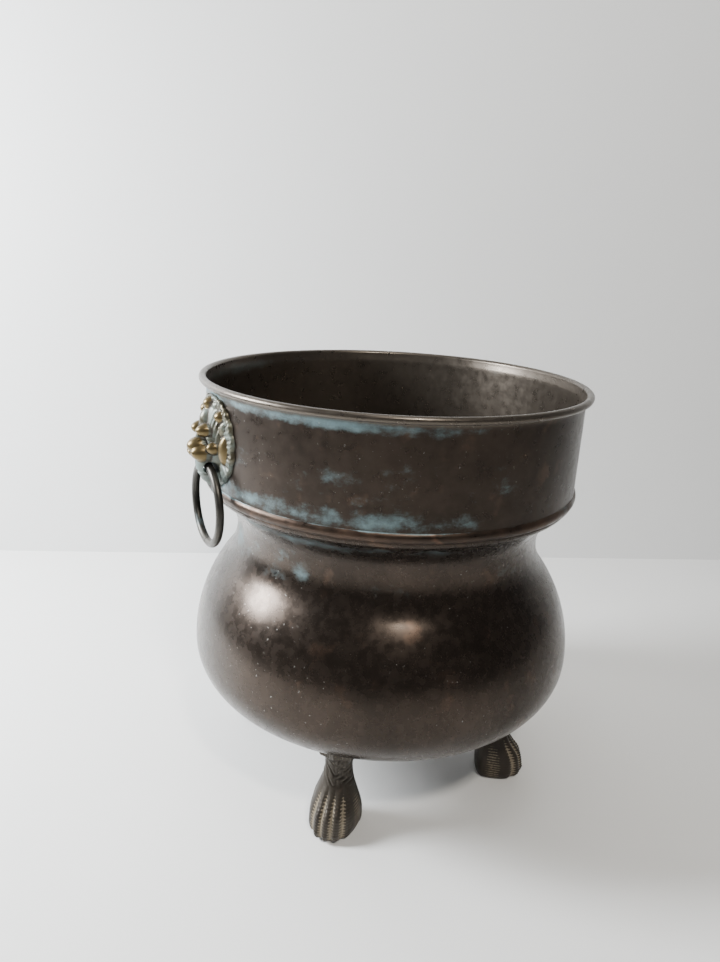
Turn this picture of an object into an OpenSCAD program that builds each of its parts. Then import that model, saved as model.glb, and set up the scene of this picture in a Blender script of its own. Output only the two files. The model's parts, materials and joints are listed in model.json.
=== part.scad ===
// Footed copper cauldron: a raised bowl with a soldered collar, two lion-mask ring
// handles and four cast paw feet.
// Millimetres, +Z up. The origin lies on the floor under the vessel's axis, the
// handles are on the X axis and the feet on the diagonals.

/* [Collar and rim] */
// Outer diameter over the rolled rim
rim_d = 260; // [240:1:280]
// How far the rolled rim stands out from the collar wall
rim_overhang = 4.5; // [3:0.1:7]
// Height of the flared lip above its crease
lip_h = 7; // [6:0.1:9]
// Thickness of the sheet metal
sheet_t = 1; // [0.8:0.1:1.4]
// Diameter of the wire inside the rolled rim
wire_d = 2.6; // [2:0.1:3.2]
// Height of the half-round bead at the waist
bead_h = 6.4; // [4:0.2:8]
// How far the bead stands out from the collar wall
bead_out = 1.5; // [1:0.1:2.2]
// Height of the bead's lower edge above the collar's lower edge
bead_lift = 0.6; // [0.4:0.1:2]

/* [Bowl] */
// Height of the lap where the bowl's neck fits inside the collar
lap_h = 10; // [6:0.5:16]
// Diameter at the narrowest part of the neck
neck_d = 211; // [198:1:222]
// Drop from the collar's lower edge to the narrowest part of the neck
neck_drop = 31.6; // [28:0.2:38]
// Drop from the narrowest part of the neck to the widest part of the belly
shoulder_drop = 83.4; // [76:0.2:92]
// Radius of the hollow curve below the neck
cove_r = 37; // [30:1:44]
// Radius of the turn where the neck leaves the collar
neck_bend_r = 5; // [4:0.5:7]
// Diameter at the widest part of the belly
belly_d = 270; // [256:1:284]
// Radius of the round turn under the belly
turn_r = 36; // [30:1:40]
// Slope of the underside, in degrees
under_slope = 20; // [16:1:24]
// Diameter of the flat base
base_d = 120; // [100:1:130]
// Height of the base above the floor
base_z = 50.5; // [44:0.5:60]

/* [Feet] */
// Distance from the vessel's axis to the middle of each ankle
foot_r = 90; // [84:0.5:96]
// Width of a paw across the toes
paw_w = 35; // [30:0.5:40]
// Reach of the toes beyond the middle of the ankle
toe_reach = 26; // [22:0.5:30]
// Width of the ankle
ankle_w = 19; // [17:0.5:22]
// Depth of the ankle, from front to back
ankle_l = 16; // [15:0.5:19]
// Number of toe ridges
toes = 5; // [4:1:6]
// Depth of the grooves between the toes
toe_groove = 1.6; // [1:0.1:2.2]
// Width of the leaf flange under the bowl
leaf_w = 33; // [28:0.5:36]

/* [Foot fasteners] */
// Diameter of the foot screws
foot_screw_d = 4; // [3:0.5:5]
// Depth that a foot screw enters the foot
foot_screw_depth = 10; // [8:0.5:14]
// Diameter of the foot screws' heads
foot_head_d = 7.5; // [7:0.5:9]
// Height of the foot screws' heads
foot_head_h = 2.6; // [2:0.1:3.4]
// Outer diameter of the foot washers
foot_washer_d = 11; // [10:0.5:14]
// Thickness of the foot washers
foot_washer_t = 1; // [0.8:0.1:1.6]

/* [Lion masks] */
// Height of a mask
mask_h = 57.6; // [54:0.2:62]
// Width of a mask across the mane
mask_w = 56; // [50:0.5:58]
// Thickness of the mask's plate
plate_t = 2.4; // [2:0.1:3]
// How far the snout stands out from the collar wall
snout_out = 18; // [16:0.2:21]
// Drop from the top of a mask to the axis of the ring's bore
bore_drop = 43.3; // [42:0.1:45]
// Diameter of the bore that holds the ring
bore_d = 8.4; // [8:0.1:9]
// Length of the bore, across the muzzle
bore_l = 18; // [16:0.2:20]
// Metal in front of the bore
bore_wall = 2; // [1.6:0.1:2.6]
// Metal left behind the bore
bore_back = 1.4; // [1.2:0.1:2]
// Number of tufts around the mane
tufts = 18; // [14:2:22]

/* [Mask fasteners] */
// Sideways distance between the two screws of a mask
mask_screw_pitch = 30; // [28:0.5:32]
// Drop from the top of a mask to its screws
mask_screw_drop = 37; // [35:0.5:39]
// Diameter of the mask screws
mask_screw_d = 3; // [2.5:0.5:3.5]
// Depth that a mask screw enters the mask
mask_screw_depth = 4; // [3:0.2:4.4]
// Diameter of the mask screws' heads
mask_head_d = 5.5; // [5:0.5:6.5]
// Height of the mask screws' heads
mask_head_h = 1.8; // [1.4:0.1:2.4]
// Outer diameter of the mask washers
mask_washer_d = 8; // [7:0.5:9]
// Thickness of the mask washers
mask_washer_t = 0.8; // [0.6:0.1:1.2]

/* [Rings] */
// Outer diameter of a handle ring
ring_d = 56; // [54:0.5:60]
// Diameter of the ring's rod
rod_d = 5; // [4.4:0.1:5.2]
// Gap between the ring's butted ends
butt_gap = 0.5; // [0.3:0.1:1]

/* [Hidden] */

// Clearances
seat_gap = 0.1;      // between pieces that are screwed or soldered together
wire_gap = 0.05;     // round the wire in the rim
thread_gap = 0.05;   // round a screw in its tapped hole
hole_gap = 0.2;      // round a screw in the sheet or a washer
rest_gap = 0.3;      // between the hanging ring and the muzzle
mask_gap = 0.2;      // between a mask and the lip above it, and the bead below it

// Heights down the collar: the masks fill it from the lip to the bead
mask_drop = lip_h + mask_gap;
collar_h = mask_drop + mask_h + mask_gap + bead_h + bead_lift;

// Radii
rim_r = rim_d / 2;
wall_r = rim_r - rim_overhang;
wall_ri = wall_r - sheet_t;
lap_r = wall_ri - seat_gap;
neck_r = neck_d / 2;
belly_r = belly_d / 2;
base_r = base_d / 2;
roll_r = wire_d / 2 + wire_gap + sheet_t;

// Heights above the floor
turn_end_r = belly_r - turn_r + turn_r * sin(under_slope);
belly_z = base_z + (turn_end_r - base_r) * tan(under_slope) + turn_r * cos(under_slope);
neck_z = belly_z + shoulder_drop;
seam_z = neck_z + neck_drop;
rim_z = seam_z + collar_h;
bead_z = seam_z + bead_lift;

// Curves of the bowl: the belly's arc and both hollows are tangent to each other
belly_arc_r = (pow(belly_r - neck_r, 2) + pow(shoulder_drop, 2)) / (2 * (belly_r - neck_r)) - cove_r;
belly_cr = belly_r - belly_arc_r;
cove_cr = neck_r + cove_r;
cove_a = atan2(neck_z - belly_z, cove_cr - belly_cr);
bend_m = neck_r - lap_r + neck_bend_r;
upper_cove_r = (pow(bend_m, 2) + pow(neck_drop, 2) - pow(neck_bend_r, 2)) / (2 * (neck_bend_r - bend_m));
upper_cr = neck_r + upper_cove_r;
upper_a = atan2(neck_drop, upper_cr - lap_r + neck_bend_r);

// Feet: the seat is a cone, and a foot's screw stands square to it
foot_az = [for (k = [0:3]) 45 + 90 * k];
seat_z = base_z + (foot_r - base_r) * tan(under_slope);
paw_fn = 64;

// Masks and rings
mask_top = rim_z - mask_drop;
mask_mid = mask_top - mask_h / 2;
mask_back = wall_r + seat_gap;
bore_r = bore_d / 2;
rod_r = rod_d / 2;
ring_cr = ring_d / 2 - rod_r;
bore_x = mask_back + bore_back + bore_r;
bore_z = mask_top - bore_drop;
boss_r = bore_r + bore_wall;
snout_x = wall_r + snout_out;
ring_drop = sqrt(pow(ring_cr - rod_r, 2) - pow(bore_l / 2, 2)) + bore_r - rest_gap;
mask_screw_z = mask_top - mask_screw_drop;

vessel_fn = 180;
copper = "#4a3f37";
brass = "#6f6448";
paw_metal = "#4b4740";
iron = "#3a3633";
steel = "#8a8680";

// Points on an arc, from angle a0 to a1
function arc(cr, cz, r, a0, a1, n) =
    [for (k = [0:n]) let (a = a0 + (a1 - a0) * k / n) [cr + r * cos(a), cz + r * sin(a)]];

// One side of the bowl's sheet from the base to the lap, inset by i from the outside
function bowl_side(i) = concat(
    [[0, base_z + i], [base_r - i * tan(under_slope / 2), base_z + i]],
    arc(belly_r - turn_r, belly_z, turn_r - i, under_slope - 90, 0, 14),
    arc(belly_cr, belly_z, belly_arc_r - i, 3, cove_a, 18),
    arc(cove_cr, neck_z, cove_r + i, 180 + cove_a - 4, 180, 8),
    arc(upper_cr, neck_z, upper_cove_r + i, 174, 180 - upper_a, 8),
    arc(lap_r - neck_bend_r, seam_z, neck_bend_r - i, -upper_a + 10, 0, 5),
    [[lap_r - i, seam_z + lap_h]]);

function reversed(v) = [for (k = [len(v) - 1:-1:0]) v[k]];

// The bowl's outside as one solid, grown by g
module bowl_envelope(g) {
    rotate_extrude($fn = vessel_fn)
        polygon(concat(bowl_side(-g), [[0, seam_z + lap_h]]));
}

// Raised bowl with its lapped neck, drilled for the foot screws
module bowl() {
    color(copper)
        difference() {
            rotate_extrude($fn = vessel_fn)
                polygon(concat(bowl_side(0), reversed(bowl_side(sheet_t))));
            for (a = foot_az)
                at_seat(a)
                    cylinder(h = 6 * sheet_t, d = foot_screw_d + 2 * hole_gap, center = true, $fn = 32);
        }
}

// Collar wall, flared lip and the roll that wraps the rim wire
module collar() {
    roll_cr = rim_r - roll_r;
    roll_cz = rim_z - roll_r;
    crease_z = rim_z - lip_h;
    flare_a = atan2(roll_cz - crease_z, roll_cr - roll_r + sheet_t - wall_r);
    color(copper)
        difference() {
            rotate_extrude($fn = vessel_fn)
                difference() {
                    union() {
                        translate([wall_ri, seam_z])
                            square([sheet_t, collar_h - lip_h]);
                        polygon([[wall_ri, crease_z - 0.2], [wall_r, crease_z - 0.2],
                                 [roll_cr - roll_r + sheet_t, roll_cz], [roll_cr - roll_r, roll_cz]]);
                        translate([roll_cr, roll_cz])
                            circle(r = roll_r, $fn = 48);
                    }
                    translate([roll_cr, roll_cz])
                        circle(r = wire_d / 2 + wire_gap, $fn = 48);
                    translate([roll_cr - 0.6, roll_cz - roll_r - 1])
                        square([0.4, roll_r + 1]);
                }
            for (side = [0, 180])
                rotate([0, 0, side])
                    mask_screw_places()
                        cylinder(h = 8 * sheet_t, d = mask_screw_d + 2 * hole_gap, center = true, $fn = 24);
        }
}

// Wire inside the rolled rim
module rim_wire() {
    color(iron)
        rotate_extrude($fn = vessel_fn)
            translate([rim_r - roll_r, rim_z - roll_r])
                circle(d = wire_d, $fn = 32);
}

// Half-round bead soldered over the collar's lower edge
module waist_bead() {
    bow_r = (pow(bead_h / 2, 2) + pow(bead_out, 2)) / (2 * bead_out);
    half_a = asin(bead_h / 2 / bow_r);
    crown_r = wall_r + bead_out;
    color(copper)
        rotate_extrude($fn = vessel_fn)
            polygon(concat([[wall_r + seat_gap, bead_z + bead_h - 0.2], [wall_r + seat_gap, bead_z + 0.2]],
                arc(crown_r - bow_r, bead_z + bead_h / 2, bow_r, 0.92 - half_a, half_a - 0.92, 10)));
}

// Places of a mask's screws on the +X side, with Z along each screw towards the axis
module mask_screw_places() {
    a = asin(mask_screw_pitch / 2 / wall_r);
    for (s = [-1, 1])
        rotate([0, 0, s * a])
            translate([wall_r, 0, mask_screw_z])
                rotate([0, -90, 0])
                    children();
}

// A rounded lock between two places, thicker at its middle
module lock(p, q, rp, rq) {
    hull() {
        translate(p) sphere(r = rp, $fn = 20);
        translate(q) sphere(r = rq, $fn = 20);
    }
}

// Outline of the mask's plate, in Y and Z about its middle: a tufted shield, broad above
function mane_outline() = [for (k = [0:2:358])
    let (f = 0.965 + 0.035 * abs(sin(tufts * k / 2)),
         c = sign(cos(k)) * pow(abs(cos(k)), sin(k) > 0 ? 0.72 : 1.1))
    [mask_w / 2 * c * f, mask_h / 2 * sin(k) * f]];

// Cast lion mask on the +X side, bored across the muzzle for the ring
// The relief is placed in shares of the mask's height v and width w
module mask() {
    top = mask_top;
    v = mask_h / 57.6;
    w = mask_w / 56;
    difference() {
        union() {
            intersection() {
                rotate_extrude($fn = vessel_fn)
                    translate([mask_back, mask_top - mask_h])
                        square([plate_t, mask_h]);
                translate([0, 0, mask_mid])
                    rotate([90, 0, 90])
                        linear_extrude(height = snout_x + 10)
                            polygon(mane_outline());
            }
            translate([wall_r + 2.6, 0, top - 4.2])
                sphere(r = 4.2, $fn = 32);
            hull() {
                translate([wall_r + 1, 0, top - 11 * v]) sphere(r = 4.5, $fn = 24);
                translate([wall_r + 4.4, -4 * w, top - 20 * v]) sphere(r = 5.4, $fn = 24);
                translate([wall_r + 4.4, 4 * w, top - 20 * v]) sphere(r = 5.4, $fn = 24);
                translate([wall_r + 1.5, 0, bore_z + 9.3]) sphere(r = 9, $fn = 24);
            }
            for (s = [-1, 1]) {
                translate([wall_r + 8.6, s * 4.6 * w, top - 21.2 * v]) sphere(r = 4.5, $fn = 24);
                translate([wall_r + 3.4, s * 11.5 * w, bore_z + 12.8]) sphere(r = 3.4, $fn = 24);
                translate([snout_x - 6.6, s * 3.6, bore_z + 9.3]) sphere(r = 5.4, $fn = 24);
                lock([wall_r + 1, s * 14.4 * w, top - 10.8 * v], [wall_r + 0.4, s * 18 * w, top - 20 * v], 3.6, 2.8);
                lock([wall_r - 0.6, s * 19.5 * w, bore_z + 16.8], [wall_r - 0.8, s * 19.5 * w, bore_z + 8.8], 3.6, 3.8);
            }
            translate([snout_x - 5.6, 0, bore_z + 11.7])
                sphere(r = 5.6, $fn = 32);
            hull() {
                translate([snout_x - 10, 0, bore_z + 10.3]) sphere(r = 7.4, $fn = 24);
                translate([wall_r + 1, 0, bore_z + 7.3]) sphere(r = 11.5, $fn = 24);
            }
            translate([bore_x, 0, bore_z])
                rotate([90, 0, 0])
                    cylinder(r = boss_r, h = bore_l, center = true, $fn = 48);
            translate([mask_back + 0.4, -bore_l / 2 + 1, bore_z])
                cube([boss_r, bore_l - 2, boss_r + 1]);
            hull() {
                translate([wall_r + 4.6, 0, bore_z - 5]) sphere(r = 4, $fn = 20);
                translate([wall_r + 1.6, 0, bore_z - 9.4]) sphere(r = 4, $fn = 20);
            }
            mask_screw_places()
                translate([0, 0, -mask_screw_depth - 1.6])
                    cylinder(r1 = mask_screw_d / 2 + 1.6, r2 = mask_screw_d / 2 + 2.6, h = mask_screw_depth + 1.4, $fn = 24);
        }
        cylinder(r = mask_back, h = 2 * rim_z, $fn = vessel_fn);
        translate([bore_x, 0, bore_z])
            rotate([90, 0, 0])
                cylinder(r = bore_r, h = bore_l + 20, center = true, $fn = 48);
        mask_screw_places()
            translate([0, 0, -mask_screw_depth])
                cylinder(d = mask_screw_d + 2 * thread_gap, h = mask_screw_depth + 1, $fn = 24);
    }
}

module mask_left() {
    color(brass)
        rotate([0, 0, 180])
            mask();
}

module mask_right() {
    color(brass)
        mask();
}

// The two screws of one mask, heads inside the collar
module mask_screws() {
    mask_screw_places() {
        translate([0, 0, thread_gap - mask_screw_depth])
            cylinder(d = mask_screw_d, h = mask_screw_depth + sheet_t + 3 * seat_gap + mask_washer_t, $fn = 24);
        translate([0, 0, sheet_t + 3 * seat_gap + mask_washer_t - thread_gap])
            cylinder(d = mask_head_d, h = mask_head_h, $fn = 32);
    }
}

module mask_screws_left() {
    color(steel)
        rotate([0, 0, 180])
            mask_screws();
}

module mask_screws_right() {
    color(steel)
        mask_screws();
}

// The two washers under one mask's screw heads
module mask_washers() {
    mask_screw_places()
        translate([0, 0, sheet_t + 2 * seat_gap])
            difference() {
                cylinder(d = mask_washer_d, h = mask_washer_t, $fn = 32);
                translate([0, 0, -1])
                    cylinder(d = mask_screw_d + 2 * hole_gap, h = mask_washer_t + 2, $fn = 24);
            }
}

module mask_washers_left() {
    color(steel)
        rotate([0, 0, 180])
            mask_washers();
}

module mask_washers_right() {
    color(steel)
        mask_washers();
}

// Ring of bent rod through the muzzle, its ends butted at the bottom
module ring() {
    translate([bore_x, 0, bore_z - ring_drop])
        difference() {
            rotate([0, 90, 0])
                rotate_extrude($fn = 96)
                    translate([ring_cr, 0])
                        circle(r = rod_r, $fn = 32);
            translate([-rod_d, -butt_gap / 2, -ring_cr - rod_d])
                cube([2 * rod_d, butt_gap, 2 * rod_d]);
        }
}

module ring_left() {
    color(iron)
        rotate([0, 0, 180])
            ring();
}

module ring_right() {
    color(iron)
        ring();
}

// Frame on the bowl's underside at azimuth a, with Z square to the sheet and into the bowl
module at_seat(a) {
    rotate([0, 0, a])
        translate([foot_r, 0, seat_z])
            rotate([0, -under_slope, 0])
                children();
}

// Sections of a foot: share of the leg's height, reach back, reach forward, half width,
// depth of the toe grooves and depth of the leaf scallops
function foot_sections() = let (b = ankle_l / 2, w = ankle_w / 2, p = paw_w / 2, l = leaf_w / 2) [
    [0, b - 2, toe_reach - 4.5, p - 2.5, 0.5, 0],
    [0.04, b, toe_reach - 1.2, p - 0.8, 0.8, 0],
    [0.12, b + 1, toe_reach, p, 1, 0],
    [0.22, b + 1.4, toe_reach - 1, p, 1, 0],
    [0.32, b + 1, toe_reach - 4, p - 1.2, 1, 0],
    [0.42, b, toe_reach - 8.6, p - 3.4, 0.8, 0],
    [0.52, b - 0.6, b + 5.4, w + 2.4, 0.5, 0],
    [0.62, b - 0.4, b + 2, w + 0.6, 0.3, 0],
    [0.74, b, b, w, 0, 0.2],
    [0.86, b + 0.6, b + 0.8, w + 0.4, 0, 0.5],
    [0.94, b + 3, b + 3, w + 3.4, 0, 0.8],
    [1, b + 5, b + 5, l - 1, 0, 1],
    [1.16, b + 6, b + 6, l, 0, 1]];

// Ring of points of one section: the front half carries the toe ridges
function foot_ring(s) = [for (k = [0:paw_fn - 1])
    let (a = 360 * k / paw_fn,
         c = cos(a),
         reach = c > 0 ? s[2] : s[1],
         across = sign(sin(a)) * pow(abs(sin(a)), 0.9),
         front = max(0, c),
         ridge = abs(sin(90 * toes * (across + 1))),
         groove = toe_groove * s[4] * (1 - ridge) * pow(front, 0.4),
         leaf = 1.6 * s[5] * abs(sin(4.5 * a)))
    [foot_r + (reach - groove - leaf) * c, (s[3] - leaf) * across, s[0] * seat_z]];

// Cast paw foot at azimuth 0, from the sole up to the bowl, tapped for its screw
module foot() {
    rings = [for (s = foot_sections()) foot_ring(s)];
    n = len(rings);
    m = paw_fn;
    sides = [for (i = [0:n - 2], k = [0:m - 1])
        let (a = i * m + k, b = i * m + (k + 1) % m)
        each [[a, a + m, b + m], [a, b + m, b]]];
    difference() {
        polyhedron(points = [for (r = rings) each r],
            faces = concat(sides, [[for (k = [0:m - 1]) k]], [[for (k = [m - 1:-1:0]) (n - 1) * m + k]]));
        bowl_envelope(seat_gap);
        at_seat(0)
            translate([0, 0, -foot_screw_depth - 1])
                cylinder(d = foot_screw_d + 2 * thread_gap, h = foot_screw_depth + 2, $fn = 32);
    }
}

module foot_front_left() {
    color(paw_metal)
        rotate([0, 0, 225])
            foot();
}

module foot_front_right() {
    color(paw_metal)
        rotate([0, 0, 315])
            foot();
}

module foot_rear_left() {
    color(paw_metal)
        rotate([0, 0, 135])
            foot();
}

module foot_rear_right() {
    color(paw_metal)
        rotate([0, 0, 45])
            foot();
}

// Screws that hold the feet, heads inside the bowl
module foot_screws() {
    color(steel)
        for (a = foot_az)
            at_seat(a) {
                translate([0, 0, -foot_screw_depth])
                    cylinder(d = foot_screw_d, h = foot_screw_depth + sheet_t + 2 * seat_gap + foot_washer_t, $fn = 32);
                translate([0, 0, sheet_t + 2 * seat_gap + foot_washer_t])
                    cylinder(d = foot_head_d, h = foot_head_h, $fn = 32);
            }
}

// Washers under the foot screws' heads
module foot_washers() {
    color(steel)
        for (a = foot_az)
            at_seat(a)
                translate([0, 0, sheet_t + seat_gap])
                    difference() {
                        cylinder(d = foot_washer_d, h = foot_washer_t, $fn = 32);
                        translate([0, 0, -1])
                            cylinder(d = foot_screw_d + 2 * hole_gap, h = foot_washer_t + 2, $fn = 32);
                    }
}

bowl();
collar();
rim_wire();
waist_bead();
mask_left();
mask_right();
mask_screws_left();
mask_screws_right();
mask_washers_left();
mask_washers_right();
ring_left();
ring_right();
foot_front_left();
foot_front_right();
foot_rear_left();
foot_rear_right();
foot_screws();
foot_washers();
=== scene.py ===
"""A footed copper cauldron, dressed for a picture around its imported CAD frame.

The vessel's axis is Z and the floor is z = 0. Sizes are in millimetres unless a name says
otherwise; meshes are written in metres. Handles lie on the X axis and feet on the diagonals.
"""

import json
import logging
import math
from dataclasses import dataclass, field
from enum import Enum
from typing import Any

import bmesh
import bpy
import numpy as np
from mathutils import Matrix, Vector

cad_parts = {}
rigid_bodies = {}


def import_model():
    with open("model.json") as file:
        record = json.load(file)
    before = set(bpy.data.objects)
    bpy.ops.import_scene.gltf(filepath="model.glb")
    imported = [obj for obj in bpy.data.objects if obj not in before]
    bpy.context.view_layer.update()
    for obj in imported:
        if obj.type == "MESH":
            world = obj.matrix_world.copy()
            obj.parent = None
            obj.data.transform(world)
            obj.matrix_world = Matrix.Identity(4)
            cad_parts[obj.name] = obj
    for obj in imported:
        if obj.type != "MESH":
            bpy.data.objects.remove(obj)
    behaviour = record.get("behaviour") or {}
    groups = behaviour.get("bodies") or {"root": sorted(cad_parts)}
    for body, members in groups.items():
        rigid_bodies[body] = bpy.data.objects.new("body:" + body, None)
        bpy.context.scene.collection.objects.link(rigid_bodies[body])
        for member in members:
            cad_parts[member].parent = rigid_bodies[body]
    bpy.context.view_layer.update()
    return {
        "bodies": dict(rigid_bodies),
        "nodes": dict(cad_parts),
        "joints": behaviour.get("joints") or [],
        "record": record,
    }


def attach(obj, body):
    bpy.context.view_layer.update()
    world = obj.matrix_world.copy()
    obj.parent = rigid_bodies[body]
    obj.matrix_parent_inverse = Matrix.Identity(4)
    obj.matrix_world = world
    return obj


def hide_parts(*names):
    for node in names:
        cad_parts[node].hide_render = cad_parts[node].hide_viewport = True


LOG = logging.getLogger("cauldron")
MM = 0.001
PHOTO_SIZE = (720, 962)
PHOTO_TURN = -29.0  # degrees from the picture's own frame to the part's

Value = Any
Points = np.ndarray


class Side(Enum):
    """The side of the vessel that a handle is on, as a turn about the axis in degrees."""

    RIGHT = 0
    LEFT = 180


class Foot(Enum):
    """The place of each foot, as an azimuth in degrees."""

    REAR_RIGHT = 45
    REAR_LEFT = 135
    FRONT_LEFT = 225
    FRONT_RIGHT = 315


def arc(cr: float, cz: float, r: float, a0: float, a1: float, count: int = 40) -> Points:
    """Points on an arc in a profile's plane.

    Args:
        cr: Centre's distance from the axis.
        cz: Centre's height.
        r: Radius.
        a0: First angle in degrees.
        a1: Last angle in degrees.
        count: Number of steps.

    Returns:
        An array of radius and height pairs.
    """
    a = np.radians(np.linspace(a0, a1, count + 1))
    return np.stack([cr + r * np.cos(a), cz + r * np.sin(a)], axis=1)


def resample(line: Points, step: float) -> Points:
    """Spreads points evenly along a line.

    Args:
        line: Corner points.
        step: Largest distance between two points.

    Returns:
        The corner points with more between them.
    """
    out = [line[:1]]
    for a, b in zip(line[:-1], line[1:]):
        count = max(1, int(math.ceil(np.linalg.norm(b - a) / step)))
        t = np.linspace(0, 1, count + 1)[1:, None]
        out.append(a + (b - a) * t)
    return np.concatenate(out)


def even(line: Points, step: float) -> Points:
    """Spaces points evenly along a smooth line.

    Args:
        line: Points of the line.
        step: Distance between two points.

    Returns:
        The new points, from the same start to the same end.
    """
    run = np.concatenate([[0], np.cumsum(np.linalg.norm(np.diff(line, axis=0), axis=1))])
    at = np.linspace(0, run[-1], int(round(run[-1] / step)) + 1)
    return np.stack([np.interp(at, run, line[:, 0]), np.interp(at, run, line[:, 1])], axis=1)


def smooth_step(low: float, high: float, x: Points) -> Points:
    """A soft step from 0 at low to 1 at high."""
    t = np.clip((x - low) / (high - low), 0, 1)
    return t * t * (3 - 2 * t)


def smooth_max(a: Points, b: Points, blend: float) -> Points:
    """The larger of two heights, rounded where they meet."""
    h = np.clip(0.5 + 0.5 * (a - b) / blend, 0, 1)
    return b + (a - b) * h + blend * h * (1 - h)


def turned(angle: float, axis: str) -> Matrix:
    """A turn about an axis by an angle in degrees."""
    return Matrix.Rotation(math.radians(angle), 4, axis)


def moved(x: float, y: float, z: float) -> Matrix:
    """A shift."""
    return Matrix.Translation((x, y, z))


def make_object(name: str, points: Points, faces: list,
                attributes: dict[str, Points] | None = None) -> bpy.types.Object:
    """Makes a mesh object in the scene, with its faces turned outwards.

    Args:
        name: The object's name.
        points: Corner points in millimetres.
        faces: Lists of corner numbers.
        attributes: Values for each corner, by name.

    Returns:
        The new object.
    """
    mesh = bpy.data.meshes.new(name)
    mesh.from_pydata((np.asarray(points) * MM).tolist(), [], faces)
    for key, values in (attributes or {}).items():
        layer = mesh.attributes.new(key, "FLOAT", "POINT")
        layer.data.foreach_set("value", np.asarray(values, dtype=np.float32).ravel())
    mesh.validate()
    obj = bpy.data.objects.new(name, mesh)
    bpy.context.scene.collection.objects.link(obj)
    face_outwards(obj)
    return obj


def face_outwards(obj: bpy.types.Object) -> None:
    """Flips a closed mesh whose faces point inwards."""
    work = bmesh.new()
    work.from_mesh(obj.data)
    if work.calc_volume(signed=True) < 0:
        bmesh.ops.reverse_faces(work, faces=work.faces[:])
        work.to_mesh(obj.data)
    work.free()


def soften(obj: bpy.types.Object, angle: float = 38.0) -> None:
    """Shades a mesh smooth but for edges sharper than an angle in degrees."""
    obj.data.shade_smooth()
    obj.data.set_sharp_from_angle(angle=math.radians(angle))


def bake(obj: bpy.types.Object) -> bpy.types.Object:
    """Turns an object's modifiers into its mesh."""
    bpy.context.view_layer.update()
    graph = bpy.context.evaluated_depsgraph_get()
    mesh = bpy.data.meshes.new_from_object(obj.evaluated_get(graph), depsgraph=graph)
    mesh.name = obj.name
    obj.modifiers.clear()
    obj.data = mesh
    return obj


def drop(obj: bpy.types.Object) -> None:
    """Deletes a helper object."""
    bpy.data.objects.remove(obj, do_unlink=True)


def drill(obj: bpy.types.Object, holes: list[tuple[Matrix, float, float, float]]) -> None:
    """Cuts round holes.

    Args:
        obj: The object to cut.
        holes: For each hole its frame in millimetres, radius, and lowest and highest z there.
    """
    tool = bmesh.new()
    for frame, radius, low, high in holes:
        place = frame @ Matrix.Translation((0, 0, (low + high) / 2))
        bmesh.ops.create_cone(tool, cap_ends=True, segments=40, radius1=radius, radius2=radius,
                              depth=high - low, matrix=Matrix.Scale(MM, 4) @ place)
    subtract(obj, tool)


def subtract(obj: bpy.types.Object, tool: bmesh.types.BMesh) -> None:
    """Cuts a closed shape out of an object.

    Args:
        obj: The object to cut.
        tool: The shape, in metres, which is freed.
    """
    mesh = bpy.data.meshes.new("cutter")
    tool.to_mesh(mesh)
    tool.free()
    cutter = bpy.data.objects.new("cutter", mesh)
    bpy.context.scene.collection.objects.link(cutter)
    cut = obj.modifiers.new("cut", "BOOLEAN")
    cut.operation = "DIFFERENCE"
    cut.solver = "EXACT"
    cut.object = cutter
    bake(obj)
    drop(cutter)


class Graph:
    """A node tree that is built by short calls."""

    def __init__(self, tree: bpy.types.NodeTree) -> None:
        """Starts on an empty tree."""
        self.tree = tree
        tree.nodes.clear()

    def add(self, kind: str, values: dict | None = None, out: int | str = 0, **settings: Value) -> Value:
        """Adds a node.

        Args:
            kind: The node's type name.
            values: Numbers or sockets for its inputs, by name or number.
            out: The output to return.
            **settings: Properties of the node.

        Returns:
            The chosen output socket, or the node where it has no outputs.
        """
        node = self.tree.nodes.new(kind)
        for key, value in settings.items():
            setattr(node, key, value)
        for key, value in (values or {}).items():
            if isinstance(value, bpy.types.NodeSocket):
                self.tree.links.new(value, node.inputs[key])
            else:
                node.inputs[key].default_value = value
        return node.outputs[out] if len(node.outputs) else node

    def math(self, operation: str, a: Value, b: Value = 0.0, clamp: bool = False) -> Value:
        """A sum, product or other step on two numbers."""
        return self.add("ShaderNodeMath", {0: a, 1: b}, operation=operation, use_clamp=clamp)


class Growth(Graph):
    """A geometry node tree with named inputs."""

    def __init__(self, name: str, inputs: dict[str, str]) -> None:
        """Makes the tree's sockets.

        Args:
            name: The tree's name.
            inputs: Socket kind of each input, by name: Geometry, Float, Int or Material.
        """
        super().__init__(bpy.data.node_groups.new(name, "GeometryNodeTree"))
        face = self.tree.interface
        for key, kind in inputs.items():
            face.new_socket(key, in_out="INPUT", socket_type="NodeSocket" + kind)
        face.new_socket("Geometry", in_out="OUTPUT", socket_type="NodeSocketGeometry")
        self.given = self.tree.nodes.new("NodeGroupInput").outputs

    def close(self, geometry: Value) -> None:
        """Ends the tree: instances become real and take the material that is given."""
        real = self.add("GeometryNodeRealizeInstances", {0: geometry})
        dressed = self.add("GeometryNodeSetMaterial", {"Geometry": real, "Material": self.given["Material"]})
        self.add("NodeGroupOutput", {0: dressed})

    def grow(self, obj: bpy.types.Object, **values: Value) -> bpy.types.Object:
        """Runs the tree on an object and keeps the result as its mesh.

        Args:
            obj: The object whose mesh is the tree's first input.
            **values: The tree's inputs; an underscore stands for a space.

        Returns:
            The same object.
        """
        step = obj.modifiers.new("growth", "NODES")
        step.node_group = self.tree
        keys = {item.name: item.identifier for item in self.tree.interface.items_tree
                if item.item_type == "SOCKET" and item.in_out == "INPUT"}
        for name, value in values.items():
            step[keys[name.replace("_", " ")]] = value
        bake(obj)
        face_outwards(obj)
        return obj


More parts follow.
